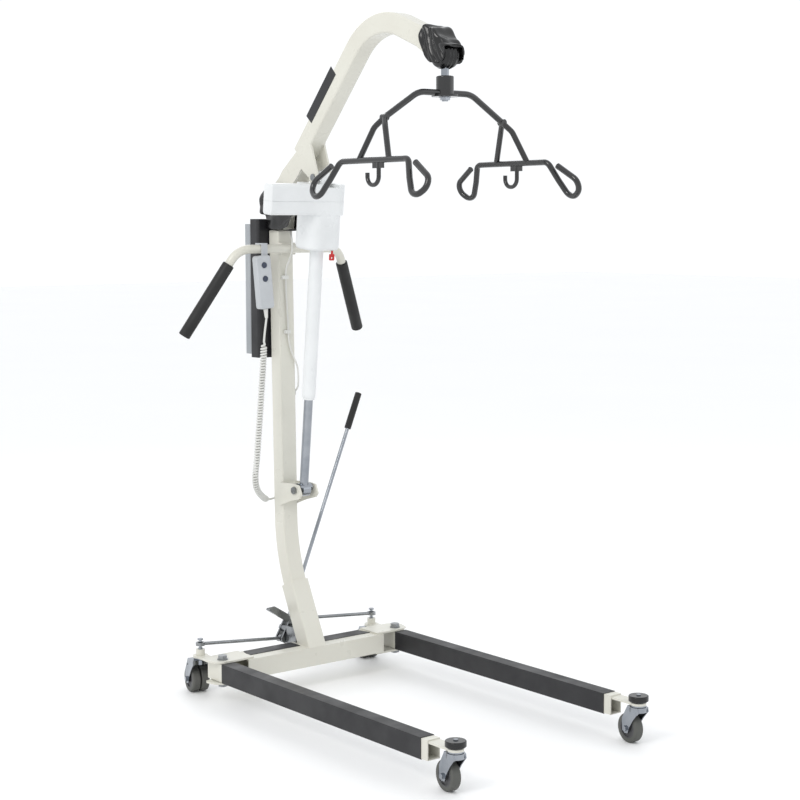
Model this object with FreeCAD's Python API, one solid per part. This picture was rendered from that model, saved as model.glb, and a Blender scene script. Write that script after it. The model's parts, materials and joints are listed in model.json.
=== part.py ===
import FreeCAD, Part
import math
import os

# Electric patient lift hoist, millimetres, +Z up. The legs and the boom point to -Y.
# Every number below is given with Y = 0 on the line through the two leg pivots. save()
# then moves everything by FRAME_Y, so that the origin lies on the floor under the
# middle of the whole hoist.
FRAME_Y = 388.0

# Base and legs
PIVOT_X = 302.0
LEG_TOP = 112.0
LEG_BOTTOM = 62.0
LEG_WIDTH = 38.0
LEG_WALL = 2.5
LEG_REAR = 46.0
LEG_FRONT = -912.0
SLEEVE_WALL = 2.0
SLEEVE_REAR = -27.0
SLEEVE_FRONT = -888.0
CASTER_FRONT_Y = -991.0
CASTER_REAR_Y = 114.5
CARRIER_THICK = 6.0
PLATE_THICK = 5.0
PLATE_GAP = 1.0
BAR_HALF = 236.0
BAR_FRONT = -31.0
BAR_REAR = 60.0
BAR_WALL = 4.0

# Casters
WHEEL_R = 37.5
TRAIL = 30.0
STEM_RISE = 21.0
PEDAL_PIN_R = 2.5
FRONT_HEADING = 6.0
REAR_HEADING = 11.0

# Leg spreading linkage
CRANK_X = -10.0
CRANK_Z = 141.0
CRANK_ARM = 30.0
CRANK_TILT = 30.0
LEVER_FOOT = (12.0, 141.0, 152.0)
LEVER_TOP = (330.0, 212.0, 797.0)
ROD_Y = 114.5
ROD_R = 5.0
STUD_Z = 141.0

# Mast: a lower stretch that leans back, a long bend and a nearly upright stretch
MAST_WIDTH = 50.8
MAST_DEPTH = 48.0
MAST_WALL = 3.0
MAST_FOOT = (11.0, 134.0)
MAST_KNEE = (122.2, 361.8)
MAST_TOP = (139.0, 1322.0)
MAST_BEND_R = 490.0
SOCKET_WALL = 4.0
SOCKET_GAP = 0.6
SOCKET_TOP_Z = 282.0

# Boom: pivot, actuator pin, and the two straight stretches of the bent tube
BOOM_PIVOT = (118.0, 1395.0)
ACT_TOP = (-58.0, 1438.0)
ACT_FOOT = (35.0, 558.0)
BOOM_WIDTH = 50.8
BOOM_DEPTH = 54.0
BOOM_WALL = 4.0
BOOM_START = (14.0, 1503.0)
BOOM_CORNER = (-316.4, 1862.2)
BOOM_END = (-552.0, 1765.6)
BOOM_BEND_R = 180.0
HANG_Y = -591.0
HANG_Z = 1728.0

# Spreader bar
HUB_BOTTOM = 1644.0
HUB_TOP = 1678.0
BOW_Z = 1636.0
BOW_HALF = 85.0
SHOULDER_X = 192.0
SHOULDER_Z = 1569.0
SIDE_BAR_X = 226.0
SIDE_BAR_Z = 1465.0
SIDE_BAR_HALF = 135.0
LEG_SPREAD_Y = 60.0
BOW_R = 8.0
SIDE_R = 7.7
HOOK_PROFILE = ((0, 0, 0), (24, 16, -46), (56, 33, -97), (112, 16, -58), (32, 4, -10))

# Push handle
HANDLE_Y = 97.0
HANDLE_Z = 1241.0
HANDLE_R = 12.5
HANDLE_CORNER_X = 172.0
HANDLE_TIP = (300.0, 177.0, 1004.0)
GRIP_LENGTH = 232.0
GRIP_R = 17.0

# Handset and its curly cord. The coil is one tube of the coil's outer diameter.
HANDSET_X = -107.0
HANDSET_Z = 1149.0
HANDSET_LEAN = -5.0
HANDSET_BUTTONS = (48.0, 10.0)
CORD_START = (-98.0, 70.0, 1048.0)
CORD_END = (15.0, 186.0, 905.0)
CORD_R = 3.0
COIL_R = 10.0
COIL_ROUTE = [(-98, 70, 1048), (-102, 71, 1020), (-106, 72, 985), (-107, 74, 930), (-112, 76, 860),
              (-118, 76, 790), (-125, 76, 720), (-131, 76, 650), (-134, 84, 598), (-118, 98, 560),
              (-88, 116, 536), (-58, 136, 521), (-34, 150, 520)]
TAIL_ROUTE = [(-34, 150, 520), (-11, 163.4, 519), (8, 165, 546), (13, 163, 593), (15, 163, 655), (13, 164, 715),
              (15, 163, 775), (13, 167, 830), (15, 181, 868), (15, 186, 905)]

# Motor lead, clipped to the front of the mast
LEAD_R = 2.5
LEAD_ROUTE = [(7, 100, 1288.4), (5, 90, 1270), (0, 81, 1252), (-3, 80, 1226), (-6, 91, 1206), (-6, 106, 1182),
              (-6, 106.5, 1138), (-4, 105.5, 1086), (-1, 104.5, 1034), (0, 104, 982), (8, 103, 950),
              (20, 102, 925), (30, 101, 900), (33, 103, 868), (36, 110, 842), (25.4, 118, 826)]
CLIP_CENTRES = ((-6.0, 106.2, 1160.0), (-0.4, 104.3, 1005.0))

V = FreeCAD.Vector
os.makedirs("parts", exist_ok=True)


def save(name, shape):
    moved = shape.copy()
    moved.translate(V(0, FRAME_Y, 0))
    moved.exportStep("parts/" + name + ".step")


def block(x0, x1, y0, y1, z0, z1):
    return Part.makeBox(x1 - x0, y1 - y0, z1 - z0, V(x0, y0, z0))


def round_block(x0, x1, y0, y1, z0, z1, radius, along="Z"):
    """A block whose edges along one axis are rounded."""
    shape = block(x0, x1, y0, y1, z0, z1)
    axis = {"X": V(1, 0, 0), "Y": V(0, 1, 0), "Z": V(0, 0, 1)}[along]
    edges = [e for e in shape.Edges if e.tangentAt(e.FirstParameter).cross(axis).Length < 0.01]
    return shape.makeFillet(radius, edges)


def rod(start, end, radius):
    start = V(*start)
    span = V(*end) - start
    return Part.makeCylinder(radius, span.Length, start, span)


def largest(shape):
    return max(shape.removeSplitter().Solids, key=lambda solid: solid.Volume)


def ring(start, end, outer, inner):
    return rod(start, end, outer).cut(rod(start, end, inner))


def hexagon(start, end, across):
    """A hexagonal prism, for bolt heads and nuts."""
    start = V(*start)
    span = V(*end) - start
    turn = FreeCAD.Rotation(V(0, 0, 1), span)
    corner = across / math.sqrt(3)
    points = []
    for i in range(7):
        angle = math.radians(60 * i)
        points.append(start + turn.multVec(V(corner * math.cos(angle), corner * math.sin(angle), 0)))
    return Part.Face(Part.makePolygon(points)).extrude(span)


def plate_yz(points, x0, x1):
    """A flat plate in a YZ plane, from an outline of (y, z) points."""
    corners = [V(x0, y, z) for y, z in points]
    return Part.Face(Part.makePolygon(corners + corners[:1])).extrude(V(x1 - x0, 0, 0))


def plate_xy(points, z0, z1):
    corners = [V(x, y, z0) for x, y in points]
    return Part.Face(Part.makePolygon(corners + corners[:1])).extrude(V(0, 0, z1 - z0))


def path_wire(points, radii):
    """Straight runs joined by tangent arcs. Returns the wire and its length."""
    points = [V(*p) for p in points]
    edges = []
    start = points[0]
    for i in range(1, len(points) - 1):
        corner = points[i]
        back = (points[i - 1] - corner).normalize()
        ahead = (points[i + 1] - corner).normalize()
        turn = math.pi - back.getAngle(ahead)
        reach = radii[i - 1] * math.tan(turn / 2)
        bisector = (back + ahead).normalize()
        middle = corner + bisector * (radii[i - 1] * (1 / math.cos(turn / 2) - 1))
        first = corner + back * reach
        last = corner + ahead * reach
        edges.append(Part.LineSegment(start, first).toShape())
        edges.append(Part.Arc(first, middle, last).toShape())
        start = last
    edges.append(Part.LineSegment(start, points[-1]).toShape())
    return Part.Wire(edges)


def cord_radii(points):
    """The largest arc at each corner of a cord's route."""
    points = [V(*p) for p in points]
    radii = []
    for i in range(1, len(points) - 1):
        back = points[i - 1] - points[i]
        ahead = points[i + 1] - points[i]
        turn = math.pi - back.getAngle(ahead)
        radii.append(0.45 * min(back.Length, ahead.Length) / math.tan(turn / 2))
    return radii


def round_tube(points, radii, radius):
    """A round bar along a path."""
    pieces = []
    for edge in path_wire(points, radii).Edges:
        start = edge.valueAt(edge.FirstParameter)
        along = edge.tangentAt(edge.FirstParameter)
        if edge.Curve.TypeId == "Part::GeomLine":
            pieces.append(Part.makeCylinder(radius, edge.Length, start, along))
        else:
            disc = Part.Face(Part.Wire(Part.Circle(start, along, radius).toShape()))
            angle = math.degrees(edge.LastParameter - edge.FirstParameter)
            pieces.append(disc.revolve(edge.Curve.Center, edge.Curve.Axis, angle))
    return pieces[0].fuse(pieces[1:]).removeSplitter()


def cord_tube(name, points, radius):
    radii = cord_radii(points)
    shape = round_tube(points, radii, radius)
    length = path_wire(points, radii).Length
    expected = math.pi * radius * radius * length
    print(name, "radii", [round(r) for r in radii], "length", round(length),
          "volume ratio", round(shape.Volume / expected, 4))
    return shape


def boxed_path(points_yz, radii, width, depth, wall):
    """A rectangular tube along a path in the plane X = 0. wall 0 makes it solid."""
    points = [(0, y, z) for y, z in points_yz]
    wire = path_wire(points, radii)
    start = V(*points[0])
    along = (V(*points[1]) - start).normalize()
    side = V(1, 0, 0)
    up = along.cross(side)

    def sweep(half_width, half_depth, corner):
        flat = []
        for sx, sy in ((1, 1), (-1, 1), (-1, -1), (1, -1)):
            cx = sx * (half_width - corner)
            cy = sy * (half_depth - corner)
            ends = ((cx + sx * corner, cy), (cx, cy + sy * corner))
            if sx != sy:
                ends = ends[::-1]
            middle = (cx + sx * corner * math.sqrt(0.5), cy + sy * corner * math.sqrt(0.5))
            flat.append((ends[0], middle, ends[1]))
        edges = []
        for i, (first, middle, last) in enumerate(flat):
            a, b, c = [start + side * u + up * v for u, v in (first, middle, last)]
            d = flat[(i + 1) % 4][0]
            edges.append(Part.Arc(a, b, c).toShape())
            edges.append(Part.LineSegment(c, start + side * d[0] + up * d[1]).toShape())
        return wire.makePipeShell([Part.Wire(edges)], True, False)

    outer = sweep(width / 2, depth / 2, wall + 1.5)
    return outer.cut(sweep(width / 2 - wall, depth / 2 - wall, 1.5))


# ---------------------------------------------------------------- base

def leg_plate_outline(side, grow):
    """The plate round one leg pivot, seen from above."""
    inner = side * (BAR_HALF - 20)
    outer = side * (PIVOT_X + 40)
    return [(inner, BAR_FRONT + 6), (side * (PIVOT_X + 12), BAR_FRONT + 4), (side * (PIVOT_X + 32), -12),
            (outer, 20), (outer - side * 4, 32 + grow), (side * (PIVOT_X + 10), 40 + grow), (inner, 44 + grow)]


def base_frame():
    """Cross tube with a plate above and below each leg pivot, and the leaning mast socket."""
    shape = block(-BAR_HALF, BAR_HALF, BAR_FRONT, BAR_REAR, LEG_BOTTOM - 2, LEG_TOP + 2)
    inner = block(-BAR_HALF - 1, BAR_HALF + 1, BAR_FRONT + BAR_WALL, BAR_REAR - BAR_WALL,
                  LEG_BOTTOM - 2 + BAR_WALL, LEG_TOP + 2 - BAR_WALL)
    shape = shape.cut(inner)
    low = LEG_BOTTOM - 2
    high = LEG_TOP + 2
    for side in (-1, 1):
        shape = shape.fuse(plate_xy(leg_plate_outline(side, 14), high, high + PLATE_THICK))
        shape = shape.fuse(plate_xy(leg_plate_outline(side, -4), low - PLATE_THICK, low))
        hole = rod((side * PIVOT_X, 0, low - 20), (side * PIVOT_X, 0, high + 20), 8.2)
        shape = shape.cut(hole)
    return shape.fuse(mast_socket(high)).removeSplitter()


def mast_socket(floor_z):
    """The tube that the mast stands in, cut level with the cross tube's top."""
    lean = (MAST_KNEE[0] - MAST_FOOT[0]) / (MAST_KNEE[1] - MAST_FOOT[1])
    width = MAST_WIDTH + 2 * (SOCKET_WALL + SOCKET_GAP)
    depth = MAST_DEPTH + 2 * (SOCKET_WALL + SOCKET_GAP)
    low = (MAST_FOOT[0] - 70 * lean, MAST_FOOT[1] - 70)
    high = (MAST_FOOT[0] + (SOCKET_TOP_Z - MAST_FOOT[1]) * lean, SOCKET_TOP_Z)
    sleeve = boxed_path([low, high], [], width, depth, SOCKET_WALL)
    return sleeve.cut(block(-60, 60, -200, 200, 0, floor_z))


def step_pads():
    """The two dark non-slip strips on the cross tube."""
    top = LEG_TOP + 2
    left = plate_xy([(-212, 8), (-198, 54), (-36, 54), (-36, 8)], top, top + 1.6)
    right = plate_xy([(36, 8), (36, 54), (204, 54), (214, 8)], top, top + 1.6)
    return Part.makeCompound([left, right])


def pivot_hardware(side):
    """The bolt that a leg turns on, with its washer and its nut, as one group."""
    x = side * PIVOT_X
    low = LEG_BOTTOM - 2 - PLATE_THICK
    high = LEG_TOP + 2 + PLATE_THICK
    bolt = rod((x, 0, low - 12), (x, 0, high), 8.0)
    bolt = bolt.fuse(rod((x, 0, high), (x, 0, high + 2.5), 15))
    bolt = bolt.fuse(hexagon((x, 0, high + 2.5), (x, 0, high + 12), 24))
    nut = hexagon((x, 0, low - 10), (x, 0, low), 24)
    return bolt.fuse(nut).removeSplitter()


# ---------------------------------------------------------------- legs

def leg_tube(side):
    """Leg tube with the caster carriers at both ends and the pivot bush."""
    x0 = side * PIVOT_X - LEG_WIDTH / 2
    x1 = side * PIVOT_X + LEG_WIDTH / 2
    x = side * PIVOT_X
    shape = block(x0, x1, LEG_FRONT, LEG_REAR, LEG_BOTTOM, LEG_TOP)
    hollow = block(x0 + LEG_WALL, x1 - LEG_WALL, LEG_FRONT - 1, LEG_REAR + 1,
                   LEG_BOTTOM + LEG_WALL, LEG_TOP - LEG_WALL)
    shape = shape.cut(hollow)
    top = LEG_TOP
    front = block(x0 + LEG_WALL, x1 - LEG_WALL, CASTER_FRONT_Y, LEG_FRONT + 45,
                  top - LEG_WALL - CARRIER_THICK, top - LEG_WALL)
    nose = rod((x, CASTER_FRONT_Y, top - LEG_WALL - CARRIER_THICK), (x, CASTER_FRONT_Y, top - LEG_WALL), 20)
    rear = block(x0 + LEG_WALL, x1 - LEG_WALL, LEG_REAR - 25, CASTER_REAR_Y,
                 top - LEG_WALL - CARRIER_THICK, top - LEG_WALL)
    tail = rod((x, CASTER_REAR_Y, top - LEG_WALL - CARRIER_THICK), (x, CASTER_REAR_Y, top - LEG_WALL), 21)
    shape = shape.fuse([front, nose, rear, tail])
    boss = rod((x, 0, LEG_BOTTOM), (x, 0, LEG_TOP), 13)
    stud_boss = rod((x, CASTER_REAR_Y, top - LEG_WALL), (x, CASTER_REAR_Y, top - LEG_WALL + 17), 12.5)
    shape = shape.fuse([boss, stud_boss])
    holes = [rod((x, 0, 0), (x, 0, 200), 8.06)]
    for y in (CASTER_FRONT_Y, CASTER_REAR_Y):
        holes.append(rod((x, y, 80), (x, y, 200), 6.0))
    return shape.cut(Part.makeCompound(holes)).removeSplitter()


def leg_sleeve(side):
    x0 = side * PIVOT_X - LEG_WIDTH / 2
    x1 = side * PIVOT_X + LEG_WIDTH / 2
    wall = SLEEVE_WALL
    outer = round_block(x0 - wall, x1 + wall, SLEEVE_FRONT, SLEEVE_REAR,
                        LEG_BOTTOM - wall + 0.3, LEG_TOP + wall - 0.3, 1.5, "Y")
    return outer.cut(block(x0, x1, SLEEVE_FRONT - 1, SLEEVE_REAR + 1, LEG_BOTTOM, LEG_TOP))


def bumper(side):
    """The round rubber buffer over the front caster, on its own bolt."""
    x = side * PIVOT_X
    low = LEG_TOP - LEG_WALL + 3.5
    shape = rod((x, CASTER_FRONT_Y, low), (x, CASTER_FRONT_Y, low + 15), 25.5)
    shape = shape.makeFillet(2.5, [e for e in shape.Edges if e.Length > 100])
    return shape.cut(rod((x, CASTER_FRONT_Y, low - 1), (x, CASTER_FRONT_Y, low + 16), 6.0))


# ---------------------------------------------------------------- casters

def caster(side, stem_y, heading, twin):
    """One swivel caster. The wheel trails the stem towards +Y, turned by heading."""
    x = side * PIVOT_X
    turn = math.radians(heading)
    back = V(math.sin(turn), math.cos(turn), 0)
    across = V(math.cos(turn), -math.sin(turn), 0)
    stem = V(x, stem_y, 0)
    under = LEG_TOP - LEG_WALL - CARRIER_THICK
    half = 25.0 if twin else 12.0
    hub = stem + back * TRAIL + V(0, 0, WHEEL_R)

    mount = rod((x, stem_y, under - 4), (x, stem_y, under), 19)
    mount = mount.fuse(rod((x, stem_y, under - 9), (x, stem_y, under + CARRIER_THICK + STEM_RISE), 6.0))
    if not twin:
        nut_low = under + CARRIER_THICK
        mount = mount.fuse(hexagon((x, stem_y, nut_low), (x, stem_y, nut_low + 3.5), 20))
    if twin:
        mount = mount.fuse(tie_stud(x, stem_y, under + CARRIER_THICK + STEM_RISE))

    crown_low = 86.0
    crown_high = under - 4.6
    crown = rod((x, stem_y, crown_low), (x, stem_y, crown_high), 22)
    crown = crown.cut(rod((x, stem_y, 60), (x, stem_y, crown_high + 1), 6.3))
    inner = half + 2.0
    wall = 3.0
    outline = [(-20, crown_low + 2), (-18, crown_high - 2), (24, crown_high - 2), (TRAIL + 14, 62),
               (TRAIL + 13, 36), (TRAIL + 4, 25), (TRAIL - 9, 27), (TRAIL - 14, 42), (0, 66)]
    fork = crown
    for sign in (-1, 1):
        start = stem + across * (sign * inner)
        corners = [start + back * u + V(0, 0, z) for u, z in outline]
        cheek = Part.Face(Part.makePolygon(corners + corners[:1])).extrude(across * (sign * wall))
        fork = fork.fuse(cheek)
    reach = inner + wall
    corners = [stem + back * u + across * w + V(0, 0, crown_low)
               for u, w in ((-18, -reach), (24, -reach), (24, reach), (-18, reach))]
    bridge = Part.Face(Part.makePolygon(corners + corners[:1])).extrude(V(0, 0, crown_high - crown_low))
    bridge = bridge.cut(rod((x, stem_y, 60), (x, stem_y, crown_high + 1), 6.3))
    fork = fork.fuse(bridge)
    fork = fork.fuse(Part.makeCylinder(4.0, 2 * reach + 2, hub - across * (reach + 1), across))
    for sign in (-1, 1):
        start = hub + across * (sign * reach)
        fork = fork.fuse(hexagon(tuple(start), tuple(start + across * (sign * 5)), 13))
    if twin:
        fork = fork.cut(Part.makeCylinder(PEDAL_PIN_R + 0.06, 4 * reach,
                                          pedal_pin_centre(stem, back) - across * (2 * reach), across))
    fork = fork.removeSplitter()

    tyres = []
    hubs = []
    spans = ((-half, -2.0), (2.0, half)) if twin else ((-half, half),)
    for low, high in spans:
        start = hub + across * low
        width = high - low
        tyre = Part.makeCylinder(WHEEL_R, width, start, across)
        tyre = tyre.makeFillet(4.0, [e for e in tyre.Edges if e.Length > 100])
        tyre = tyre.cut(Part.makeCylinder(WHEEL_R - 11, width, start, across))
        core = Part.makeCylinder(WHEEL_R - 11, width, start, across)
        dish = Part.makeCylinder(WHEEL_R - 15, 3, start - across * 0.01, across)
        dish = dish.fuse(Part.makeCylinder(WHEEL_R - 15, 3.01, start + across * (width - 3), across))
        boss = Part.makeCylinder(9, width, start, across)
        core = core.cut(dish.cut(boss)).cut(Part.makeCylinder(4.06, width, start, across))
        tyres.append(tyre)
        hubs.append(core)
    if twin:
        spacer = Part.makeCylinder(9, 4, hub - across * 2, across)
        hubs.append(spacer.cut(Part.makeCylinder(4.06, 4, hub - across * 2, across)))
    core = hubs[0]
    for extra in hubs[1:]:
        core = core.fuse(extra)
    tyre = tyres[0] if len(tyres) == 1 else Part.makeCompound(tyres)
    return {"mount": mount, "fork": fork, "tyre": tyre, "hub": core}


def tie_stud(x, y, z):
    """The headed stud on the rear arm that a tie rod's eye drops over."""
    stud = rod((x, y, z), (x, y, z + 26), 4.0)
    return stud.fuse(rod((x, y, z + 22), (x, y, z + 26), 8.0))


def pedal_pin_centre(stem, back):
    return stem + back * 25 + V(0, 0, 81)


def brake_pedal(side):
    """The tread over a rear twin wheel. It tips about a pin across the fork."""
    turn = math.radians(REAR_HEADING)
    back = V(math.sin(turn), math.cos(turn), 0)
    across = V(math.cos(turn), -math.sin(turn), 0)
    stem = V(side * PIVOT_X, CASTER_REAR_Y, 0)
    outline = [(25, 77.5), (30, 78.5), (44, 81), (60, 72), (62, 74), (62, 77), (47, 87), (34, 85.5), (25, 84.5)]
    corners = [stem + back * u + across * -18 + V(0, 0, z) for u, z in outline]
    pedal = Part.Face(Part.makePolygon(corners + corners[:1])).extrude(across * 36)
    pin = Part.makeCylinder(PEDAL_PIN_R, 62, pedal_pin_centre(stem, back) - across * 31, across)
    return pedal.fuse(pin).removeSplitter()


# ---------------------------------------------------------------- leg spreading linkage

def crank_eye(sign):
    """Centre of one tie rod pin on the rocker: +1 is the upper one, -1 the lower one."""
    tilt = math.radians(CRANK_TILT)
    return (CRANK_X + sign * CRANK_ARM * math.sin(tilt), CRANK_Z + sign * CRANK_ARM * math.cos(tilt))


def rocker_bracket(frame, column):
    """The block behind the socket with the pin that the rocker turns on."""
    shape = block(CRANK_X - 14, CRANK_X + 14, BAR_REAR - 14, 93, LEG_TOP - 10, CRANK_Z + 14)
    shape = shape.fuse(rod((CRANK_X, 93, CRANK_Z), (CRANK_X, 135, CRANK_Z), 6.0))
    shape = shape.fuse(hexagon((CRANK_X, 133, CRANK_Z), (CRANK_X, 139, CRANK_Z), 18))
    return largest(shape.cut(frame).cut(column))


def strap_xz(start, end, radius, y0, y1):
    """A flat bar with round ends in an XZ plane."""
    start = V(start[0], y0, start[1])
    end = V(end[0], y0, end[1])
    depth = V(0, y1 - y0, 0)
    side = (end - start).normalize().cross(V(0, 1, 0)) * radius
    corners = [start + side, end + side, end - side, start - side]
    bar = Part.Face(Part.makePolygon(corners + corners[:1])).extrude(depth)
    for centre in (start, end):
        bar = bar.fuse(Part.makeCylinder(radius, y1 - y0, centre, V(0, 1, 0)))
    return bar


def rocker():
    """Two straps with the tie rod pins between them, the hub and the foot plate."""
    upper = crank_eye(1)
    lower = crank_eye(-1)
    shape = strap_xz(lower, upper, 12, 98, 103)
    shape = shape.fuse(strap_xz(lower, upper, 12, 126, 131))
    shape = shape.fuse(rod((CRANK_X, 98, CRANK_Z), (CRANK_X, 131, CRANK_Z), 11))
    for x, z in (upper, lower):
        shape = shape.fuse(rod((x, 98, z), (x, 134, z), 5.0))
    x, y, z = LEVER_FOOT
    shape = shape.fuse(strap_xz(upper, (x, z), 10, 126, 131))
    shape = shape.fuse(rod((x, 126, z), (x, y + 8, z), 9))
    foot = [(-4, 160), (-30, 172), (-83, 206), (-86, 214), (-60, 216), (-12, 186)]
    corners = [V(px, 98, pz) for px, pz in foot]
    shape = shape.fuse(Part.Face(Part.makePolygon(corners + corners[:1])).extrude(V(0, 5, 0)))
    tread = strap_xz((-84, 210), (-60, 194), 3, 86, 103)
    shape = shape.fuse(tread)
    shape = shape.cut(rod((CRANK_X, 90, CRANK_Z), (CRANK_X, 140, CRANK_Z), 6.06))
    return shape.removeSplitter()


def spread_lever(hub):
    """The tall hand lever welded into the rocker."""
    return rod(LEVER_FOOT, LEVER_TOP, 5.5).cut(hub)


def lever_grip():
    foot = V(*LEVER_FOOT)
    top = V(*LEVER_TOP)
    along = (top - foot).normalize()
    start = top - along * 113
    grip = Part.makeCylinder(10, 116, start, along)
    grip = grip.makeFillet(2.5, [e for e in grip.Edges if e.Length > 50])
    return grip.cut(Part.makeCylinder(5.5, 113, start, along))


def tie_rod(side, eye):
    """A rod from a rocker pin to the stud on the rear arm. The far eye has a clearance hole."""
    x, z = eye
    stud_x = side * PIVOT_X
    near_eye = ring((x, ROD_Y - 5.5, z), (x, ROD_Y + 5.5, z), 11.5, 5.06)
    far_eye = rod((stud_x, ROD_Y, STUD_Z - 4.5), (stud_x, ROD_Y, STUD_Z + 4.5), 13)
    middle = rod((x, ROD_Y, z), (stud_x, ROD_Y, STUD_Z), ROD_R)
    middle = middle.cut(rod((x, ROD_Y - 9, z), (x, ROD_Y + 9, z), 9))
    shape = near_eye.fuse([far_eye, middle])
    return shape.cut(rod((stud_x, ROD_Y, STUD_Z - 20), (stud_x, ROD_Y, STUD_Z + 20), 8.3)).removeSplitter()


# ---------------------------------------------------------------- mast and handle

def mast():
    """The bent tube."""
    shape = boxed_path([MAST_FOOT, MAST_KNEE, MAST_TOP], [MAST_BEND_R], MAST_WIDTH, MAST_DEPTH, MAST_WALL)
    x, y, z = LEAD_ROUTE[-1]
    shape = shape.cut(rod((x - MAST_WALL - 1, y, z), (x + 1, y, z), LEAD_R + 2.5))
    return shape.removeSplitter()


def mast_head():
    """The two cheeks on the mast's sides and the pin between them that the boom turns on."""
    y, z = BOOM_PIVOT
    outline = [(116, 1296), (158, 1296), (158, 1330), (y + 26, z), (y + 14, z + 19), (y - 14, z + 19),
               (y - 26, z), (112, 1330)]
    pad = [(118, 1298), (156, 1298), (156, 1319), (118, 1319)]
    pieces = []
    for side in (-1, 1):
        low, high = sorted((side * 26, side * 31))
        cheek = plate_yz(outline, low, high)
        low, high = sorted((side * MAST_WIDTH / 2, side * 26))
        cheek = cheek.fuse(plate_yz(pad, low, high))
        pieces.append(cheek.cut(rod((-40, y, z), (40, y, z), 8.0)).removeSplitter())
    pieces.append(rod((-31.2, y, z), (31.2, y, z), 8.0))
    return Part.makeCompound(pieces)


def mast_boot(column):
    """The rubber cover over the boom's pivot. It is open in front and on top."""
    outline = [(30, 1330), (52, 1300), (96, 1290), (162, 1290), (162, 1332), (190, 1338), (197, 1366), (186, 1398),
               (150, 1421), (98, 1423), (62, 1410), (36, 1392), (26, 1366)]
    cheeks = plate_yz(outline, -39.5, 39.5)
    cheeks = cheeks.makeFillet(5, [e for e in cheeks.Edges if abs(e.tangentAt(e.FirstParameter).x) < 0.5])
    cavity = block(-31.6, 31.6, 0, 176, 1295, 1500)
    return cheeks.cut(cavity).cut(column.copy()).cut(block(-25.4, 25.4, 112, 162, 1280, 1300))


def push_bar(column):
    """The bent bar with the saddle that holds it on the front of the mast."""
    x, y, z = HANDLE_TIP
    points = [(-x, y, z), (-HANDLE_CORNER_X, HANDLE_Y, HANDLE_Z), (HANDLE_CORNER_X, HANDLE_Y, HANDLE_Z), (x, y, z)]
    shape = round_tube(points, [60, 60], HANDLE_R)
    face = MAST_TOP[0] - (MAST_TOP[1] - HANDLE_Z) * 0.0175 - MAST_DEPTH / 2
    saddle = block(-24, 24, HANDLE_Y + 4, face - 0.2, HANDLE_Z - 17, HANDLE_Z + 17)
    return shape.fuse(saddle).cut(column).removeSplitter()


def handle_grips():
    grips = []
    for side in (-1, 1):
        tip = V(side * HANDLE_TIP[0], HANDLE_TIP[1], HANDLE_TIP[2])
        back = (V(side * HANDLE_CORNER_X, HANDLE_Y, HANDLE_Z) - tip).normalize()
        grip = Part.makeCylinder(GRIP_R, GRIP_LENGTH + 4, tip - back * 4, back)
        grip = grip.makeFillet(3.5, [e for e in grip.Edges if e.Length > 80])
        grips.append(grip.cut(Part.makeCylinder(HANDLE_R, GRIP_LENGTH + 1, tip, back)))
    return Part.makeCompound(grips)


def control_box(column):
    """The control unit on the back of the mast."""
    shape = block(-60, 60, 166, 210, 929, 1325)
    tall = [e for e in shape.Edges if e.Length > 300]
    shape = shape.makeFillet(8, tall)
    bracket = block(-22, 22, 150, 166, 960, 1000).fuse(block(-22, 22, 150, 166, 1240, 1280))
    return largest(shape.fuse(bracket.cut(column)))


def battery_pack():
    """The lift-off battery on the back of the control unit, with a carrying slot."""
    shape = round_block(-56, 56, 210, 242, 938, 1311, 7, "Z")
    slot = round_block(-38, 38, 226, 243, 1262, 1288, 8, "Y")
    return shape.cut(slot)


# ---------------------------------------------------------------- actuator

def along_actuator(shape):
    """Moves a shape built upright over the origin onto the actuator's own axis."""
    rise = ACT_TOP[1] - ACT_FOOT[1]
    lean = math.degrees(math.atan2(ACT_FOOT[0] - ACT_TOP[0], rise))
    turned = shape.copy()
    turned.rotate(V(0, 0, 0), V(1, 0, 0), lean)
    turned.translate(V(0, ACT_FOOT[0], ACT_FOOT[1]))
    return turned


def actuator_length():
    return math.hypot(ACT_TOP[1] - ACT_FOOT[1], ACT_FOOT[0] - ACT_TOP[0])


def actuator_bracket(column):
    """Two ears welded to the front of the mast."""
    outline = [(112, 572), (46, 576), (16, 573), (4, 548), (14, 536), (60, 524), (112, 505)]
    shape = plate_yz(outline, -31, -26).fuse(plate_yz(outline, 26, 31))
    back = plate_yz([(90, 515), (100.5, 515), (102, 570), (92, 570)], -26, 26)
    shape = shape.fuse(back).cut(column)
    y, z = ACT_FOOT
    return shape.cut(rod((-60, y, z), (60, y, z), 6.0)).removeSplitter()


def actuator_pin():
    y, z = ACT_FOOT
    shape = rod((-31, y, z), (35, y, z), 6.0)
    shape = shape.fuse(hexagon((-38, y, z), (-31, y, z), 19))
    return shape.fuse(hexagon((31, y, z), (38, y, z), 19)).removeSplitter()


def actuator_rod():
    """The chrome rod with the eye at its foot."""
    shape = rod((0, 0, 14), (0, 0, 612), 12.5)
    eye = rod((-20, 0, 0), (20, 0, 0), 19).cut(block(-21, -13, -30, 30, -30, 9)).cut(block(13, 21, -30, 30, -30, 9))
    shape = shape.fuse(eye).cut(rod((-40, 0, 0), (40, 0, 0), 6.06))
    return along_actuator(shape.removeSplitter())


def actuator_tube():
    shape = ring((0, 0, 269), (0, 0, 687), 19, 12.8)
    collar = ring((0, 0, 262), (0, 0, 269), 17, 12.6)
    return along_actuator(shape.fuse(collar).removeSplitter())


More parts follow.
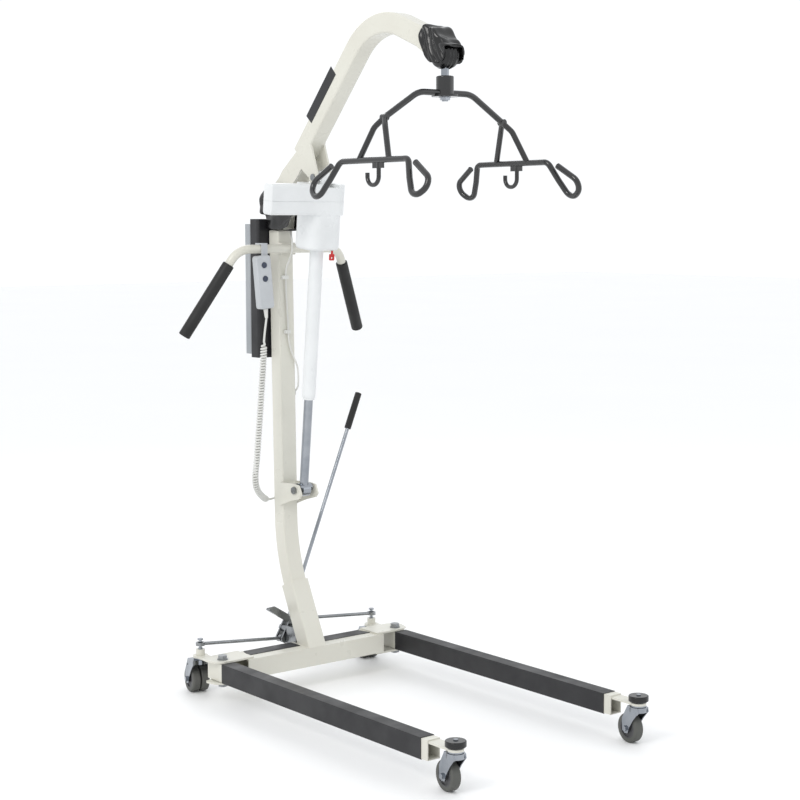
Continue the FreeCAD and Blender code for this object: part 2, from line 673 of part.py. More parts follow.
def actuator_housing():
    """The gear and motor housing, with the slotted eye under the boom."""
    length = actuator_length()
    body = round_block(-55, 55, -50, 48, 687, 785, 34, "Z")
    low = [e for e in body.Edges if abs(e.CenterOfMass.z - 687) < 0.1]
    body = body.makeFillet(10, low)
    top = length - 15.5
    groove = block(-30.5, 30.5, -60, 60, length - 25.5, length)
    head = round_block(-62, 62, -50, 44, 785, top, 30, "Z")
    motor = round_block(-194, -20, -50, -9, 785, top, 9, "X")
    ends = [e for e in motor.Edges if abs(e.CenterOfMass.x + 194) < 0.1]
    motor = motor.makeFillet(5, ends)
    seam = block(-200, 70, -60, 60, 822, 823.2)
    core = round_block(-61, 61, -49, 43, 821, 824, 29, "Z").fuse(block(-193, -20, -49, -10, 821, 824))
    shape = body.fuse([head, motor]).cut(groove)
    shape = shape.cut(seam.cut(core))
    eye = block(-14, 14, -25, 25, length - 30, length + 2)
    eye = eye.fuse(rod((-14, 0, length + 2), (14, 0, length + 2), 25).common(block(-14, 14, -25, 25, length, length + 17)))
    slot = block(-15, 15, -21, 21, length - 11.5, length + 11.5)
    shape = shape.fuse(eye).cut(slot)
    shape = shape.cut(rod((0, 0, 600), (0, 0, 780), 12.8))
    return along_actuator(shape.removeSplitter())


def release_tag():
    """The pull tab of the emergency release under the gear housing."""
    tab = round_block(14, 30, -44, -40, 660, 678, 3, "Y")
    stem = rod((22, -42, 677), (22, -42, 687), 3.0)
    hole = rod((22, -50, 667), (22, -30, 667), 3.0)
    return along_actuator(tab.fuse(stem).cut(hole).removeSplitter())


# ---------------------------------------------------------------- boom

def boom():
    """The bent tube with the forked plates behind it and the fork in front."""
    tube = boxed_path([BOOM_START, BOOM_CORNER, BOOM_END], [BOOM_BEND_R], BOOM_WIDTH, BOOM_DEPTH, BOOM_WALL)
    py, pz = BOOM_PIVOT
    ty, tz = ACT_TOP
    rear = [(-60, 1570), (88, 1462), (py + 20, pz + 19), (py - 14, pz - 24), (24, 1436), (-1, 1463), (-36, 1438),
            (ty - 19.5, tz - 2), (ty - 17, tz + 12), (-46, 1529)]
    clip = boom_side_area()
    half = BOOM_WIDTH / 2
    plates = []
    for low, high in ((-half, -half + 6), (half - 6, half)):
        plate = plate_yz(rear, low, high)
        plate = plate.fuse(rod((low, py, pz), (high, py, pz), 28))
        plate = plate.fuse(rod((low, ty, tz), (high, ty, tz), 20))
        plates.append(plate.cut(clip))
    shape = tube.fuse(plates)
    hy = HANG_Y
    hz = HANG_Z
    front = [(-520, 1796), (-508, 1756), (hy + 14, hz - 13), (hy - 14, hz - 12), (hy - 17, hz + 12), (-566, 1778)]
    for low, high in ((-half, -half + 6), (half - 6, half)):
        shape = shape.fuse(plate_yz(front, low, high))
    shape = shape.cut(rod((-40, py, pz), (40, py, pz), 8.06))
    for y, z in (ACT_TOP, (hy, hz)):
        shape = shape.cut(rod((-40, y, z), (40, y, z), 6.0))
    return shape.removeSplitter()


def boom_side_area():
    """Everything beyond the top edge of the tube, so that the side plates stay flush with it."""
    along = V(0, BOOM_CORNER[0] - BOOM_START[0], BOOM_CORNER[1] - BOOM_START[1]).normalize()
    normal = V(0, along.z, -along.y)
    start = V(-50, BOOM_START[0], BOOM_START[1]) + normal * (BOOM_DEPTH / 2)
    corners = [start - along * 118, start + along * 400, start + along * 400 + normal * 100,
               start - along * 118 + normal * 100]
    return Part.Face(Part.makePolygon(corners + corners[:1])).extrude(V(100, 0, 0))


def boom_pins():
    """The pin in the actuator's eye and the pin that carries the hanger."""
    pins = []
    for y, z in (ACT_TOP, (HANG_Y, HANG_Z)):
        pin = rod((-BOOM_WIDTH / 2, y, z), (BOOM_WIDTH / 2, y, z), 6.0)
        pin = pin.fuse(rod((-BOOM_WIDTH / 2 - 3.5, y, z), (-BOOM_WIDTH / 2, y, z), 9.5))
        pins.append(pin.fuse(rod((BOOM_WIDTH / 2, y, z), (BOOM_WIDTH / 2 + 3.5, y, z), 9.5)).removeSplitter())
    return Part.makeCompound(pins)


def boom_boot(arm):
    """The rubber cover over the front fork. It is open underneath and in front for the hanger."""
    outline = [(-530, 1804), (-520, 1766), (-548, 1726), (-568, 1706), (-612, 1703), (-630, 1716), (-632, 1742),
               (-614, 1770), (-584, 1796), (-552, 1811)]
    shape = plate_yz(outline, -35, 35)
    shape = shape.makeFillet(6, [e for e in shape.Edges if abs(e.tangentAt(e.FirstParameter).x) < 0.5])
    cavity = plate_yz([(-572, 1774), (-560, 1740), (-566, 1690), (-660, 1690), (-660, 1730), (-618, 1752)], -29.4, 29.4)
    inside = plate_yz([(-500, 1796), (-500, 1756), (-550, 1733), (-566, 1700), (-600, 1700), (-606, 1750),
                       (-566, 1786)], -BOOM_WIDTH / 2, BOOM_WIDTH / 2)
    return largest(shape.cut(cavity).cut(inside).cut(arm))


# ---------------------------------------------------------------- hanger and spreader bar

def hanger():
    """The eye under the boom with the stem that the spreader bar turns on."""
    y = HANG_Y
    eye = ring((-13, y, HANG_Z), (13, y, HANG_Z), 14, 6.06)
    neck = rod((0, y, HUB_TOP + 0.4), (0, y, HANG_Z - 8), 10)
    neck = neck.cut(rod((-20, y, HANG_Z), (20, y, HANG_Z), 10))
    stem = rod((0, y, BOW_Z - 21), (0, y, HUB_TOP + 2), 8.0)
    nut = hexagon((0, y, BOW_Z - 18), (0, y, BOW_Z - 12), 24)
    washer = rod((0, y, BOW_Z - 12), (0, y, BOW_Z - 10.4), 15)
    return eye.fuse([neck, stem, nut, washer]).removeSplitter()


def spreader_bow():
    """The arched tube over both side bars, with four legs and the hub that turns on the stem."""
    y = HANG_Y
    points = [(-SHOULDER_X, y, SHOULDER_Z), (-BOW_HALF, y, BOW_Z), (BOW_HALF, y, BOW_Z), (SHOULDER_X, y, SHOULDER_Z)]
    shape = round_tube(points, [70, 70], BOW_R)
    for side in (-1, 1):
        shape = shape.fuse(rod((side * SHOULDER_X, y - 9, SHOULDER_Z), (side * SHOULDER_X, y + 9, SHOULDER_Z), 8.7))
        for way in (-1, 1):
            route = [(side * SHOULDER_X, y, SHOULDER_Z), (side * (SHOULDER_X + 15), y + way * 22, SHOULDER_Z - 24),
                     (side * SIDE_BAR_X, y + way * LEG_SPREAD_Y, SIDE_BAR_Z)]
            shape = shape.fuse(round_tube(route, [36], BOW_R - 0.6))
    hub = rod((0, y, BOW_Z - 4), (0, y, HUB_TOP), 22.5)
    hub = hub.makeFillet(3, [e for e in hub.Edges if abs(e.CenterOfMass.z - HUB_TOP) < 0.1])
    flange = rod((0, y, BOW_Z - 10), (0, y, BOW_Z - 4), 34)
    shape = shape.fuse([hub, flange])
    return shape.cut(rod((0, y, 1600), (0, y, 1700), 8.06)).removeSplitter()


def spreader_arm(side, bow):
    """One side bar, bent into a closed hook at each end, with a small hook in the middle."""
    x = side * SIDE_BAR_X
    y = HANG_Y
    z = SIDE_BAR_Z
    route = []
    for way, profile in ((-1, HOOK_PROFILE[::-1]), (1, HOOK_PROFILE)):
        route += [(x + side * q, y + way * (SIDE_BAR_HALF + u), z + dz) for u, q, dz in profile]
    shape = round_tube(route, [24, 26, 60, 20, 20, 60, 26, 24], SIDE_R)
    hook = [(x, y - 20, z - 4), (x, y - 20, z - 60), (x, y + 25, z - 60), (x, y + 25, z - 30)]
    shape = shape.fuse(round_tube(hook, [21, 21], 5.5))
    shape = shape.fuse(block(x - 3, x + 3, y - 38, y + 2, z - 20, z - 3))
    return shape.cut(bow).removeSplitter()


# ---------------------------------------------------------------- handset and cables

def handset_frame(shape):
    """Leans a shape built upright at X = 0 to the side, as the handset hangs."""
    moved = shape.copy()
    moved.rotate(V(0, 0, 0), V(0, 1, 0), HANDSET_LEAN)
    moved.translate(V(HANDSET_X, 0, HANDSET_Z))
    return moved


def handset():
    """The hand control, hung on the push bar by the hook on its back."""
    shape = round_block(-24, 24, 59, 80, -74, 74, 8, "Y")
    edges = [e for e in shape.Edges if abs(e.CenterOfMass.y - 59) < 0.1]
    shape = shape.makeFillet(3, edges)
    for z in HANDSET_BUTTONS:
        shape = shape.cut(rod((0, 50, z), (0, 64, z), 8.5))
    shape = handset_frame(shape)
    z = HANDLE_Z
    r = HANDLE_R
    rear = HANDLE_Y + r + 0.4
    hook = plate_yz([(79, z - 46), (HANDLE_Y - r - 0.4, z - 46), (HANDLE_Y - r - 0.4, z + r), (rear, z + r),
                     (rear, z - 8), (rear + 4, z - 8), (rear + 4, z + r + 4), (79, z + r + 4)], -104, -86)
    return shape.fuse(hook).removeSplitter()


def handset_button(z):
    shape = rod((0, 57.2, z), (0, 61.2, z), 8.2)
    return handset_frame(shape)


def cord_sleeve():
    """The strain relief at the foot of the handset."""
    x, y, z = CORD_START
    return Part.makeCone(4.2, 6.5, 26, V(x, y, z), V(-0.09, 0, 1))


def cord_plug():
    """The plug of the handset's cord in the underside of the control unit."""
    x, y, z = CORD_END
    shape = rod((x, y, z), (x, y, z + 24), 7.5)
    return shape.fuse(rod((x, y, z + 10), (x, y, z + 24), 9.5))


def cable_clips(column, lead):
    """Two clips that hold the motor lead on the front of the mast, and its grommet."""
    pieces = []
    for x, y, z in CLIP_CENTRES:
        clip = block(x - 12, x + 7, y - 4.5, mast_front(z) - 0.01, z - 5, z + 5)
        pieces.append(clip)
    x, y, z = LEAD_ROUTE[-1]
    pieces.append(rod((MAST_WIDTH / 2, y, z), (MAST_WIDTH / 2 + 4, y, z), 7))
    return Part.makeCompound([piece.cut(column).cut(lead) for piece in pieces])


def mast_front(z):
    """Y of the front face of the mast's upper stretch at a height."""
    lean = (MAST_TOP[0] - MAST_KNEE[0]) / (MAST_TOP[1] - MAST_KNEE[1])
    return MAST_KNEE[0] + (z - MAST_KNEE[1]) * lean - MAST_DEPTH / 2


# ---------------------------------------------------------------- the whole hoist

def main():
    frame = base_frame()
    column = mast()
    save("base_frame", frame)
    save("step_pads", step_pads())
    save("pivot_bolts", Part.makeCompound([pivot_hardware(-1), pivot_hardware(1)]))
    save("rocker_bracket", rocker_bracket(frame, column))
    save("mast", column)
    save("mast_head", mast_head())
    save("mast_boot", mast_boot(column))
    save("push_bar", push_bar(column))
    save("handle_grips", handle_grips())
    save("control_box", control_box(column))
    save("battery_pack", battery_pack())
    save("actuator_bracket", actuator_bracket(column))
    save("actuator_pin", actuator_pin())
    lead = cord_tube("motor_lead", LEAD_ROUTE, LEAD_R)
    save("motor_lead", lead)
    save("cable_clips", cable_clips(column, lead))
    save("handset", handset())
    coil = cord_tube("handset_cord", COIL_ROUTE, COIL_R)
    tail = cord_tube("handset_cord_tail", TAIL_ROUTE, CORD_R)
    save("handset_cord", coil)
    save("handset_cord_tail", tail.cut(coil))
    save("cord_sleeve", cord_sleeve().cut(coil))
    save("cord_plug", cord_plug().cut(tail))
    for label, z in zip(("up", "down"), HANDSET_BUTTONS):
        save("button_" + label, handset_button(z))
    for label, side in (("left", -1), ("right", 1)):
        save("leg_tube_" + label, leg_tube(side))
        save("leg_sleeve_" + label, leg_sleeve(side))
        save("bumper_" + label, bumper(side))
        front = caster(side, CASTER_FRONT_Y, FRONT_HEADING, False)
        rear = caster(side, CASTER_REAR_Y, REAR_HEADING, True)
        save("caster_mounts_" + label, Part.makeCompound([front["mount"], rear["mount"]]))
        for end, parts in (("front", front), ("rear", rear)):
            save("caster_fork_" + end + "_" + label, parts["fork"])
            save("wheel_tyre_" + end + "_" + label, parts["tyre"])
            save("wheel_hub_" + end + "_" + label, parts["hub"])
        save("brake_pedal_" + label, brake_pedal(side))
    crank = rocker()
    save("rocker", crank)
    save("spread_lever", spread_lever(crank))
    save("lever_grip", lever_grip())
    save("tie_rod_left", tie_rod(-1, crank_eye(-1)))
    save("tie_rod_right", tie_rod(1, crank_eye(1)))
    arm = boom()
    save("boom", arm)
    save("boom_pins", boom_pins())
    save("boom_boot", boom_boot(arm))
    save("hanger", hanger())
    bow = spreader_bow()
    save("spreader_bow", bow)
    save("spreader_arm_left", spreader_arm(-1, bow))
    save("spreader_arm_right", spreader_arm(1, bow))
    save("actuator_rod", actuator_rod())
    save("actuator_tube", actuator_tube())
    save("actuator_housing", actuator_housing())
    save("release_tag", release_tag())


main()
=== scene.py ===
"""Visual model of an electric patient lift hoist on the CAD frame. Metres, +Z up, front at -Y."""
import json
import math

import bmesh
import bpy
from mathutils import Matrix, Vector, noise


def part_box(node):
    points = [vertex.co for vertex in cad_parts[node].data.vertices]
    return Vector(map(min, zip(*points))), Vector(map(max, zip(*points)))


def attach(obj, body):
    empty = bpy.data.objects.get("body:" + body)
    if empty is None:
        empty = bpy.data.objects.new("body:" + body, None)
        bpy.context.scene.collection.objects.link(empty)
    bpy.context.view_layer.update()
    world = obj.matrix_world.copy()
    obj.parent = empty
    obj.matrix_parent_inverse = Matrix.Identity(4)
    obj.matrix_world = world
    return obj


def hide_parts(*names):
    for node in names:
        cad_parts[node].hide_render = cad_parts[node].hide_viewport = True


# The camera stands in front and to the left, a little above the push handle.
CAMERA_PLACE = (-2.7979, -3.5418, 1.3116)
CAMERA_TURN = -38.46
CAMERA_DIP = 5.87
CAMERA_ROLL = -0.13
CAMERA_LENS = 77.3

# Curly cord of the handset. Its route repeats the CAD route, in millimetres before the frame shift.
FRAME_Y = 388.0
COIL_ROUTE = [(-98, 70, 1048), (-102, 71, 1020), (-106, 72, 985), (-107, 74, 930), (-112, 76, 860),
              (-118, 76, 790), (-125, 76, 720), (-131, 76, 650), (-134, 84, 598), (-118, 98, 560),
              (-88, 116, 536), (-58, 136, 521), (-34, 150, 520)]
TAIL_ROUTE = [(-11, 163.4, 519), (8, 165, 546), (13, 163, 593), (15, 163, 655), (13, 164, 715),
              (15, 163, 775), (13, 167, 830), (15, 181, 868), (15, 186, 905)]
CORD_RADIUS = 0.003
COIL_RADIUS = 0.0068     # of the turns' centreline
COIL_PITCH = 0.0078
COIL_START = 0.065       # plain cord before the first turn
COIL_END = 0.02          # plain cord after the last turn
COIL_OPENING = 0.020     # the turns grow to their full radius over this length
POINTS_PER_TURN = 12
DRAWN_STEPS = 6          # of a drawn curve, between two control points
SAMPLED_STEPS = 40       # of a route that other points are read from

# Rubber boots: lengths in metres, scales per metre
BOOT_VOXEL = 0.0024
BOOT_MELTING = 26
BOOT_LUMP_SCALE = 34
BOOT_WARP_SCALE = 16
BOOT_WARP = 2.5
BOOT_LUMP_SHARE = 0.55
MAST_BOOT_FOLDS = Vector((0, 40, 130))
MAST_BOOT_DEPTH = 0.004
BOOM_BOOT_FOLDS = Vector((0, 190, -90))
BOOM_BOOT_DEPTH = 0.006

# Studio. Each light has a name, place, height that it looks at, size, power and colour.
FLOOR_HALF = 30.0
WORLD_LIGHT = (0.97, 0.985, 1.0)
WORLD_STRENGTH = 1.06
LIGHTS = (
    ("key", (-3.9, -1.0, 3.8), 0.8, 2.0, 58, (1.0, 0.985, 0.96)),
    ("fill", (3.6, -3.2, 2.2), 1.0, 3.0, 8, (0.95, 0.98, 1.0)),
    ("rim", (1.6, 3.8, 3.4), 1.0, 2.2, 20, (1, 1, 1)),
)

# Plain dark panel on the boom's left face, as (y, z) corners before the frame shift.
PANEL_CORNERS = ((-52, 1585), (-28, 1606), (-144, 1733), (-166, 1709))
BOOM_SIDE_X = -0.0254
PANEL_THICKNESS = 0.0004
PANEL_GAP = 0.00002

# Front fold of the boom's boot, turned about the hanger's pin.
NOSE_CENTRE = Vector((0.0, -0.203, 1.728))
NOSE_RADIUS = 0.0325
NOSE_HALF = 0.0288
NOSE_RINGS = 40
NOSE_SEGMENTS = 64
NOSE_FOLD = 0.0011
NOSE_FOLD_WAVES = 5
NOSE_EDGE_DROP = 0.96
NOSE_SQUARENESS = 5


# ---------------------------------------------------------------- materials

def new_material(name):
    material = bpy.data.materials.new(name)
    material.use_nodes = True
    tree = material.node_tree
    return material, tree, tree.nodes["Principled BSDF"]


def noise_node(tree, scale, detail=4.0):
    """Noise in object space."""
    coords = tree.nodes.new("ShaderNodeTexCoord")
    node = tree.nodes.new("ShaderNodeTexNoise")
    node.inputs["Scale"].default_value = scale
    node.inputs["Detail"].default_value = detail
    tree.links.new(coords.outputs["Object"], node.inputs["Vector"])
    return node


def remap(tree, source, low, high, start=0.35, end=0.65):
    node = tree.nodes.new("ShaderNodeMapRange")
    node.inputs["From Min"].default_value = start
    node.inputs["From Max"].default_value = end
    node.inputs["To Min"].default_value = low
    node.inputs["To Max"].default_value = high
    tree.links.new(source, node.inputs["Value"])
    return node.outputs["Result"]


def mottle(tree, shader, colour, other, scale):
    """Slow patches of a second tone in the colour."""
    ramp = tree.nodes.new("ShaderNodeMix")
    ramp.data_type = "RGBA"
    ramp.inputs["A"].default_value = (*colour, 1)
    ramp.inputs["B"].default_value = (*other, 1)
    field = noise_node(tree, scale)
    tree.links.new(remap(tree, field.outputs["Fac"], 0, 1), ramp.inputs["Factor"])
    tree.links.new(ramp.outputs["Result"], shader.inputs["Base Color"])


def rough_and_bump(tree, shader, roughness, spread, grain, depth):
    """Roughness that varies slowly, and a fine bump."""
    slow = noise_node(tree, 14, 3.0)
    tree.links.new(remap(tree, slow.outputs["Fac"], roughness - spread, roughness + spread),
                   shader.inputs["Roughness"])
    fine = noise_node(tree, grain, 2.0)
    bump = tree.nodes.new("ShaderNodeBump")
    bump.inputs["Strength"].default_value = 0.35
    bump.inputs["Distance"].default_value = depth
    tree.links.new(fine.outputs["Fac"], bump.inputs["Height"])
    tree.links.new(bump.outputs["Normal"], shader.inputs["Normal"])


def paint(name, colour, other, roughness=0.34, coat=0.25):
    material, tree, shader = new_material(name)
    mottle(tree, shader, colour, other, 5)
    rough_and_bump(tree, shader, roughness, 0.07, 420, 0.0002)
    shader.inputs["Coat Weight"].default_value = coat
    shader.inputs["Coat Roughness"].default_value = 0.18
    return material


def plastic(name, colour, other, roughness=0.45, grain=900, depth=0.00015):
    material, tree, shader = new_material(name)
    mottle(tree, shader, colour, other, 8)
    rough_and_bump(tree, shader, roughness, 0.08, grain, depth)
    return material


def metal(name, colour, other, roughness, spread):
    material, tree, shader = new_material(name)
    shader.inputs["Metallic"].default_value = 1.0
    mottle(tree, shader, colour, other, 18)
    rough_and_bump(tree, shader, roughness, spread, 300, 0.00006)
    return material


def floor_material():
    material, tree, shader = new_material("floor")
    mottle(tree, shader, (0.95, 0.95, 0.95), (0.94, 0.94, 0.942), 0.6)
    shader.inputs["Roughness"].default_value = 0.55
    return material


def materials():
    """One material for each material slot of the record."""
    return {
        "frame_paint": paint("frame_paint", (0.655, 0.645, 0.575), (0.625, 0.61, 0.54)),
        "black_paint": paint("black_paint", (0.003, 0.003, 0.0035), (0.006, 0.006, 0.0065),
                             0.16, 0.5),
        "sleeve_grey": plastic("sleeve_grey", (0.008, 0.008, 0.010), (0.013, 0.013, 0.015), 0.48),
        "grip_rubber": plastic("grip_rubber", (0.005, 0.005, 0.005), (0.009, 0.009, 0.009),
                               0.55, 500, 0.0005),
        "boot_rubber": plastic("boot_rubber", (0.003, 0.003, 0.0035), (0.006, 0.006, 0.006),
                               0.18, 260, 0.0004),
        "white_plastic": plastic("white_plastic", (0.76, 0.775, 0.78), (0.70, 0.715, 0.72), 0.34),
        "box_plastic": plastic("box_plastic", (0.010, 0.010, 0.012), (0.015, 0.015, 0.018), 0.48),
        "battery_plastic": plastic("battery_plastic", (0.36, 0.38, 0.40), (0.32, 0.34, 0.36), 0.48),
        "silver_plastic": plastic("silver_plastic", (0.50, 0.52, 0.54), (0.44, 0.46, 0.48), 0.36),
        "button_plastic": plastic("button_plastic", (0.03, 0.04, 0.07), (0.05, 0.06, 0.09), 0.35),
        "red_plastic": plastic("red_plastic", (0.55, 0.015, 0.012), (0.45, 0.012, 0.01), 0.38),
        "cord_white": plastic("cord_white", (0.70, 0.70, 0.67), (0.62, 0.62, 0.59), 0.45),
        "steel": metal("steel", (0.30, 0.31, 0.32), (0.23, 0.24, 0.25), 0.28, 0.08),
        "chrome": metal("chrome", (0.36, 0.38, 0.41), (0.27, 0.29, 0.32), 0.14, 0.05),
        "tyre_grey": plastic("tyre_grey", (0.075, 0.078, 0.070), (0.10, 0.10, 0.092), 0.62, 350, 0.0005),
        "wheel_plastic": plastic("wheel_plastic", (0.05, 0.05, 0.053), (0.07, 0.07, 0.073), 0.5),
    }


def dress_frame(frame, palette):
    """Gives every CAD node the material of its slot."""
    for part in frame["record"]["subparts"]:
        node = frame["nodes"][part["node"]]
        node.data.materials.clear()
        node.data.materials.append(palette[part["material_slot"]])


# ---------------------------------------------------------------- pieces

def add_mesh(name, mesh, material, body):
    piece = bpy.data.objects.new(name, mesh)
    bpy.context.collection.objects.link(piece)
    mesh.materials.clear()
    mesh.materials.append(material)
    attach(piece, body)
    return piece


def evaluated_mesh(piece):
    """The mesh of an object with its modifiers or its curve worked out."""
    return bpy.data.meshes.new_from_object(piece.evaluated_get(bpy.context.evaluated_depsgraph_get()))


def line_mesh(curve):
    """The line of a curve as a mesh of short edges."""
    probe = bpy.data.objects.new("probe", curve)
    bpy.context.collection.objects.link(probe)
    bevel = curve.bevel_depth
    curve.bevel_depth = 0
    mesh = evaluated_mesh(probe)
    curve.bevel_depth = bevel
    bpy.data.objects.remove(probe)
    return mesh


def finished_mesh(name, shape):
    """The mesh of a bmesh whose faces all look outwards."""
    bmesh.ops.recalc_face_normals(shape, faces=shape.faces)
    mesh = bpy.data.meshes.new(name)
    shape.to_mesh(mesh)
    shape.free()
    return mesh


def smooth_shading(mesh):
    for polygon in mesh.polygons:
        polygon.use_smooth = True


def soft_boot(frame, node, body, palette, folds, depth):
    """A rubber boot: the CAD shell with melted edges and shallow wrinkles pressed into it."""
    source = frame["nodes"][node]
    copy = bpy.data.objects.new(node + "_draft", source.data.copy())
    bpy.context.collection.objects.link(copy)
    remesh = copy.modifiers.new("even", "REMESH")
    remesh.mode = "VOXEL"
    remesh.voxel_size = BOOT_VOXEL
    melt = copy.modifiers.new("melt", "SMOOTH")
    melt.factor = 0.5
    melt.iterations = BOOT_MELTING
    mesh = evaluated_mesh(copy)
    bpy.data.objects.remove(copy)
    low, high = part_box(node)
    middle = (Vector(low) + Vector(high)) / 2
    normals = [vertex.normal.copy() for vertex in mesh.vertices]
    for vertex, normal in zip(mesh.vertices, normals):
        place = vertex.co - middle
        lump = noise.noise(place * BOOT_LUMP_SCALE)
        fold = math.sin(folds.dot(place) + BOOT_WARP * noise.noise(place * BOOT_WARP_SCALE))
        height = BOOT_LUMP_SHARE * lump + (1 - BOOT_LUMP_SHARE) * fold
        vertex.co += normal * depth * (height - 0.5)
    smooth_shading(mesh)
    boot = add_mesh(node + "_soft", mesh, palette["boot_rubber"], body)
    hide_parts(node)


def boot_nose(palette):
    """The boot's front fold. It is round about the hanger's pin, so it fills the slot at every angle."""
    shape = bmesh.new()
    rings = []
    for i in range(NOSE_RINGS + 1):
        across = -1 + 2 * i / NOSE_RINGS
        crown = math.sqrt(1 - NOSE_EDGE_DROP * abs(across) ** NOSE_SQUARENESS)
        radius = NOSE_RADIUS * crown + NOSE_FOLD * math.cos(NOSE_FOLD_WAVES * math.pi * across)
        ring = []
        for k in range(NOSE_SEGMENTS):
            turn = 2 * math.pi * k / NOSE_SEGMENTS
            offset = Vector((across * NOSE_HALF, radius * math.cos(turn), radius * math.sin(turn)))
            ring.append(shape.verts.new(NOSE_CENTRE + offset))
        rings.append(ring)
    for near, far in zip(rings, rings[1:]):
        for k in range(NOSE_SEGMENTS):
            after = (k + 1) % NOSE_SEGMENTS
            shape.faces.new((near[k], near[after], far[after], far[k]))
    shape.faces.new(rings[0][::-1])
    shape.faces.new(rings[-1])
    mesh = finished_mesh("boot_nose", shape)
    smooth_shading(mesh)
    add_mesh("boot_nose", mesh, palette["boot_rubber"], "hanger")


def route_points(route):
    """A route of the CAD source in metres and in the frame."""
    return [Vector((x / 1000, (y + FRAME_Y) / 1000, z / 1000)) for x, y, z in route]


def nurbs_curve(name, points, bevel):
    curve = bpy.data.curves.new(name, "CURVE")
    curve.dimensions = "3D"
    curve.resolution_u = DRAWN_STEPS
    curve.bevel_depth = bevel
    curve.bevel_resolution = 4
    spline = curve.splines.new("NURBS")
    spline.points.add(len(points) - 1)
    for target, place in zip(spline.points, points):
        target.co = (*place, 1)
    spline.order_u = 3
    spline.use_endpoint_u = True
    return curve


def sampled_route(points):
    """Points close together on the smooth route."""
    curve = nurbs_curve("route", points, 0.0)
    curve.resolution_u = SAMPLED_STEPS
    mesh = line_mesh(curve)
    line = [vertex.co.copy() for vertex in mesh.vertices]
    bpy.data.meshes.remove(mesh)
    return line


def helix_points(line):
    """The curly cord's line: plain at both ends of the route, with turns about it between them."""
    steps = [(b - a).length for a, b in zip(line, line[1:])]
    total = sum(steps)
    count = int(total / COIL_PITCH * POINTS_PER_TURN)
    side = (line[1] - line[0]).cross(Vector((0, 1, 0))).normalized()
    points = []
    index = 0
    walked = 0.0
    angle = 0.0
    for k in range(count):
        distance = total * k / count
        while index < len(steps) - 1 and walked + steps[index] < distance:
            walked += steps[index]
            index += 1
        along = (line[index + 1] - line[index]).normalized()
        place = line[index] + along * (distance - walked)
        side = (side - along * side.dot(along)).normalized()
        other = along.cross(side)
        inside = min(distance - COIL_START, total - COIL_END - distance)
        open_up = min(1.0, max(0.0, inside / COIL_OPENING))
        open_up = open_up * open_up * (3 - 2 * open_up)
        angle += 2 * math.pi * open_up / POINTS_PER_TURN
        reach = COIL_RADIUS * open_up
        points.append(place + side * (reach * math.cos(angle)) + other * (reach * math.sin(angle)))
    return points


def line_length(curve):
    mesh = line_mesh(curve)
    places = [vertex.co for vertex in mesh.vertices]
    length = sum((places[edge.vertices[0]] - places[edge.vertices[1]]).length for edge in mesh.edges)
    bpy.data.meshes.remove(mesh)
    return length


def side_panel(palette):
    """A plain dark panel stuck on the boom."""
    shape = bmesh.new()
    faces = []
    for x in (BOOM_SIDE_X - PANEL_THICKNESS, BOOM_SIDE_X - PANEL_GAP):
        faces.append([shape.verts.new((x, (y + FRAME_Y) / 1000, z / 1000)) for y, z in PANEL_CORNERS])
    shape.faces.new(faces[0])
    shape.faces.new(faces[1][::-1])
    for i in range(4):
        shape.faces.new((faces[0][i], faces[1][i], faces[1][(i + 1) % 4], faces[0][(i + 1) % 4]))
    mesh = finished_mesh("boom_panel", shape)
    add_mesh("boom_panel", mesh, palette["box_plastic"], "boom")


def curly_cord(palette):
    """The handset's curly cord and the plain tail that runs up behind the mast to its plug."""
    start = route_points(COIL_ROUTE)
    points = [start[0]] + helix_points(sampled_route(start))[1:] + route_points(TAIL_ROUTE)
    curve = nurbs_curve("handset_curly_cord", points, CORD_RADIUS)
    curve.materials.append(palette["cord_white"])
    length = line_length(curve)
    print("curly cord length", round(length, 3))
    cord = bpy.data.objects.new("handset_curly_cord", curve)
    bpy.context.collection.objects.link(cord)
    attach(cord, "base")
    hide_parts("handset_cord", "handset_cord_tail")


# ---------------------------------------------------------------- studio

def floor():
    mesh = bpy.data.meshes.new("floor")
    h = FLOOR_HALF
    mesh.from_pydata([(-h, -h, 0), (h, -h, 0), (h, h, 0), (-h, h, 0)], [], [(0, 1, 2, 3)])
    ground = bpy.data.objects.new("floor", mesh)
    bpy.context.collection.objects.link(ground)
    mesh.materials.append(floor_material())


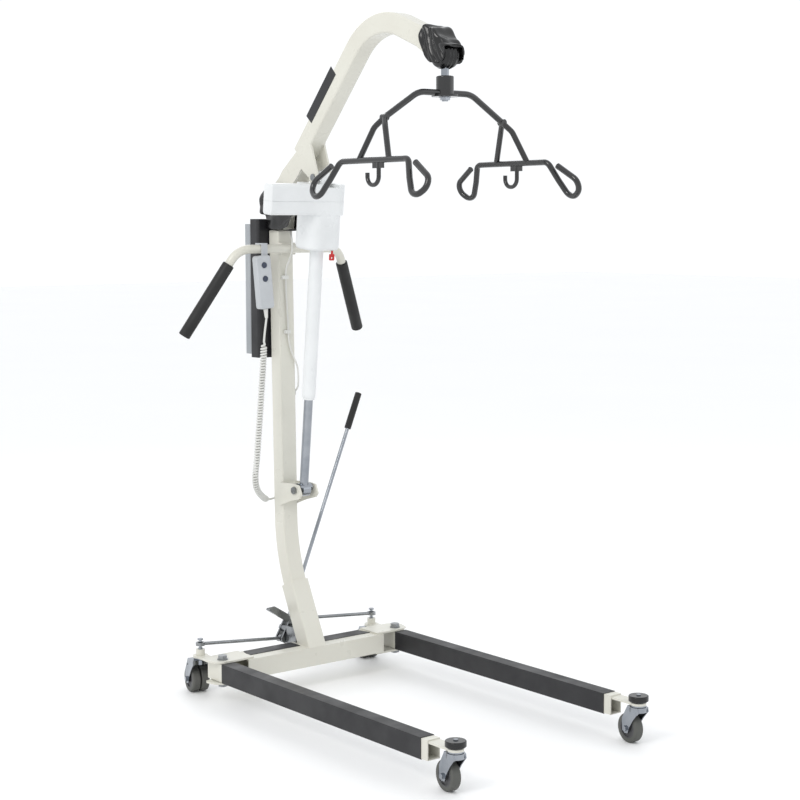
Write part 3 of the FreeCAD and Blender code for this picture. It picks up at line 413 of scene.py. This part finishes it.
def area_light(name, place, target, size, power, colour):
    light = bpy.data.lights.new(name, "AREA")
    light.shape = "DISK"
    light.size = size
    light.energy = power
    light.color = colour
    lamp = bpy.data.objects.new(name, light)
    bpy.context.collection.objects.link(lamp)
    lamp.location = place
    lamp.rotation_euler = (Vector(target) - Vector(place)).to_track_quat("-Z", "Y").to_euler()


def studio():
    world = bpy.data.worlds.new("studio")
    bpy.context.scene.world = world
    world.use_nodes = True
    background = world.node_tree.nodes["Background"]
    background.inputs["Color"].default_value = (*WORLD_LIGHT, 1)
    background.inputs["Strength"].default_value = WORLD_STRENGTH
    bpy.context.scene.view_settings.view_transform = "Standard"
    for name, place, height, size, power, colour in LIGHTS:
        area_light(name, place, (0, 0, height), size, power, colour)


def camera():
    lens = bpy.data.cameras.new("camera")
    lens.lens = CAMERA_LENS
    eye = bpy.data.objects.new("camera", lens)
    bpy.context.collection.objects.link(eye)
    eye.location = CAMERA_PLACE
    turn = Matrix.Rotation(math.radians(CAMERA_TURN), 4, "Z")
    dip = Matrix.Rotation(math.radians(90 - CAMERA_DIP), 4, "X")
    roll = Matrix.Rotation(math.radians(CAMERA_ROLL), 4, "Z")
    eye.rotation_euler = (turn @ dip @ roll).to_euler()
    bpy.context.scene.camera = eye


with open("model.json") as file:
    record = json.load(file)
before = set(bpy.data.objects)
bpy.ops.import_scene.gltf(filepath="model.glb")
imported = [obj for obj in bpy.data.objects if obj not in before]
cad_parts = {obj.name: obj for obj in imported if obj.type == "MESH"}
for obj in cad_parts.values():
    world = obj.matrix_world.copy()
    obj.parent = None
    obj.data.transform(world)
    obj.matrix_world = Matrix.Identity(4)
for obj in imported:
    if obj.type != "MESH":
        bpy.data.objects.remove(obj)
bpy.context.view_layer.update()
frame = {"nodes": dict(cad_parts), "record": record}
palette = materials()
dress_frame(frame, palette)
soft_boot(frame, "mast_boot", "base", palette, MAST_BOOT_FOLDS, MAST_BOOT_DEPTH)
soft_boot(frame, "boom_boot", "boom", palette, BOOM_BOOT_FOLDS, BOOM_BOOT_DEPTH)
boot_nose(palette)
side_panel(palette)
curly_cord(palette)
floor()
studio()
camera()
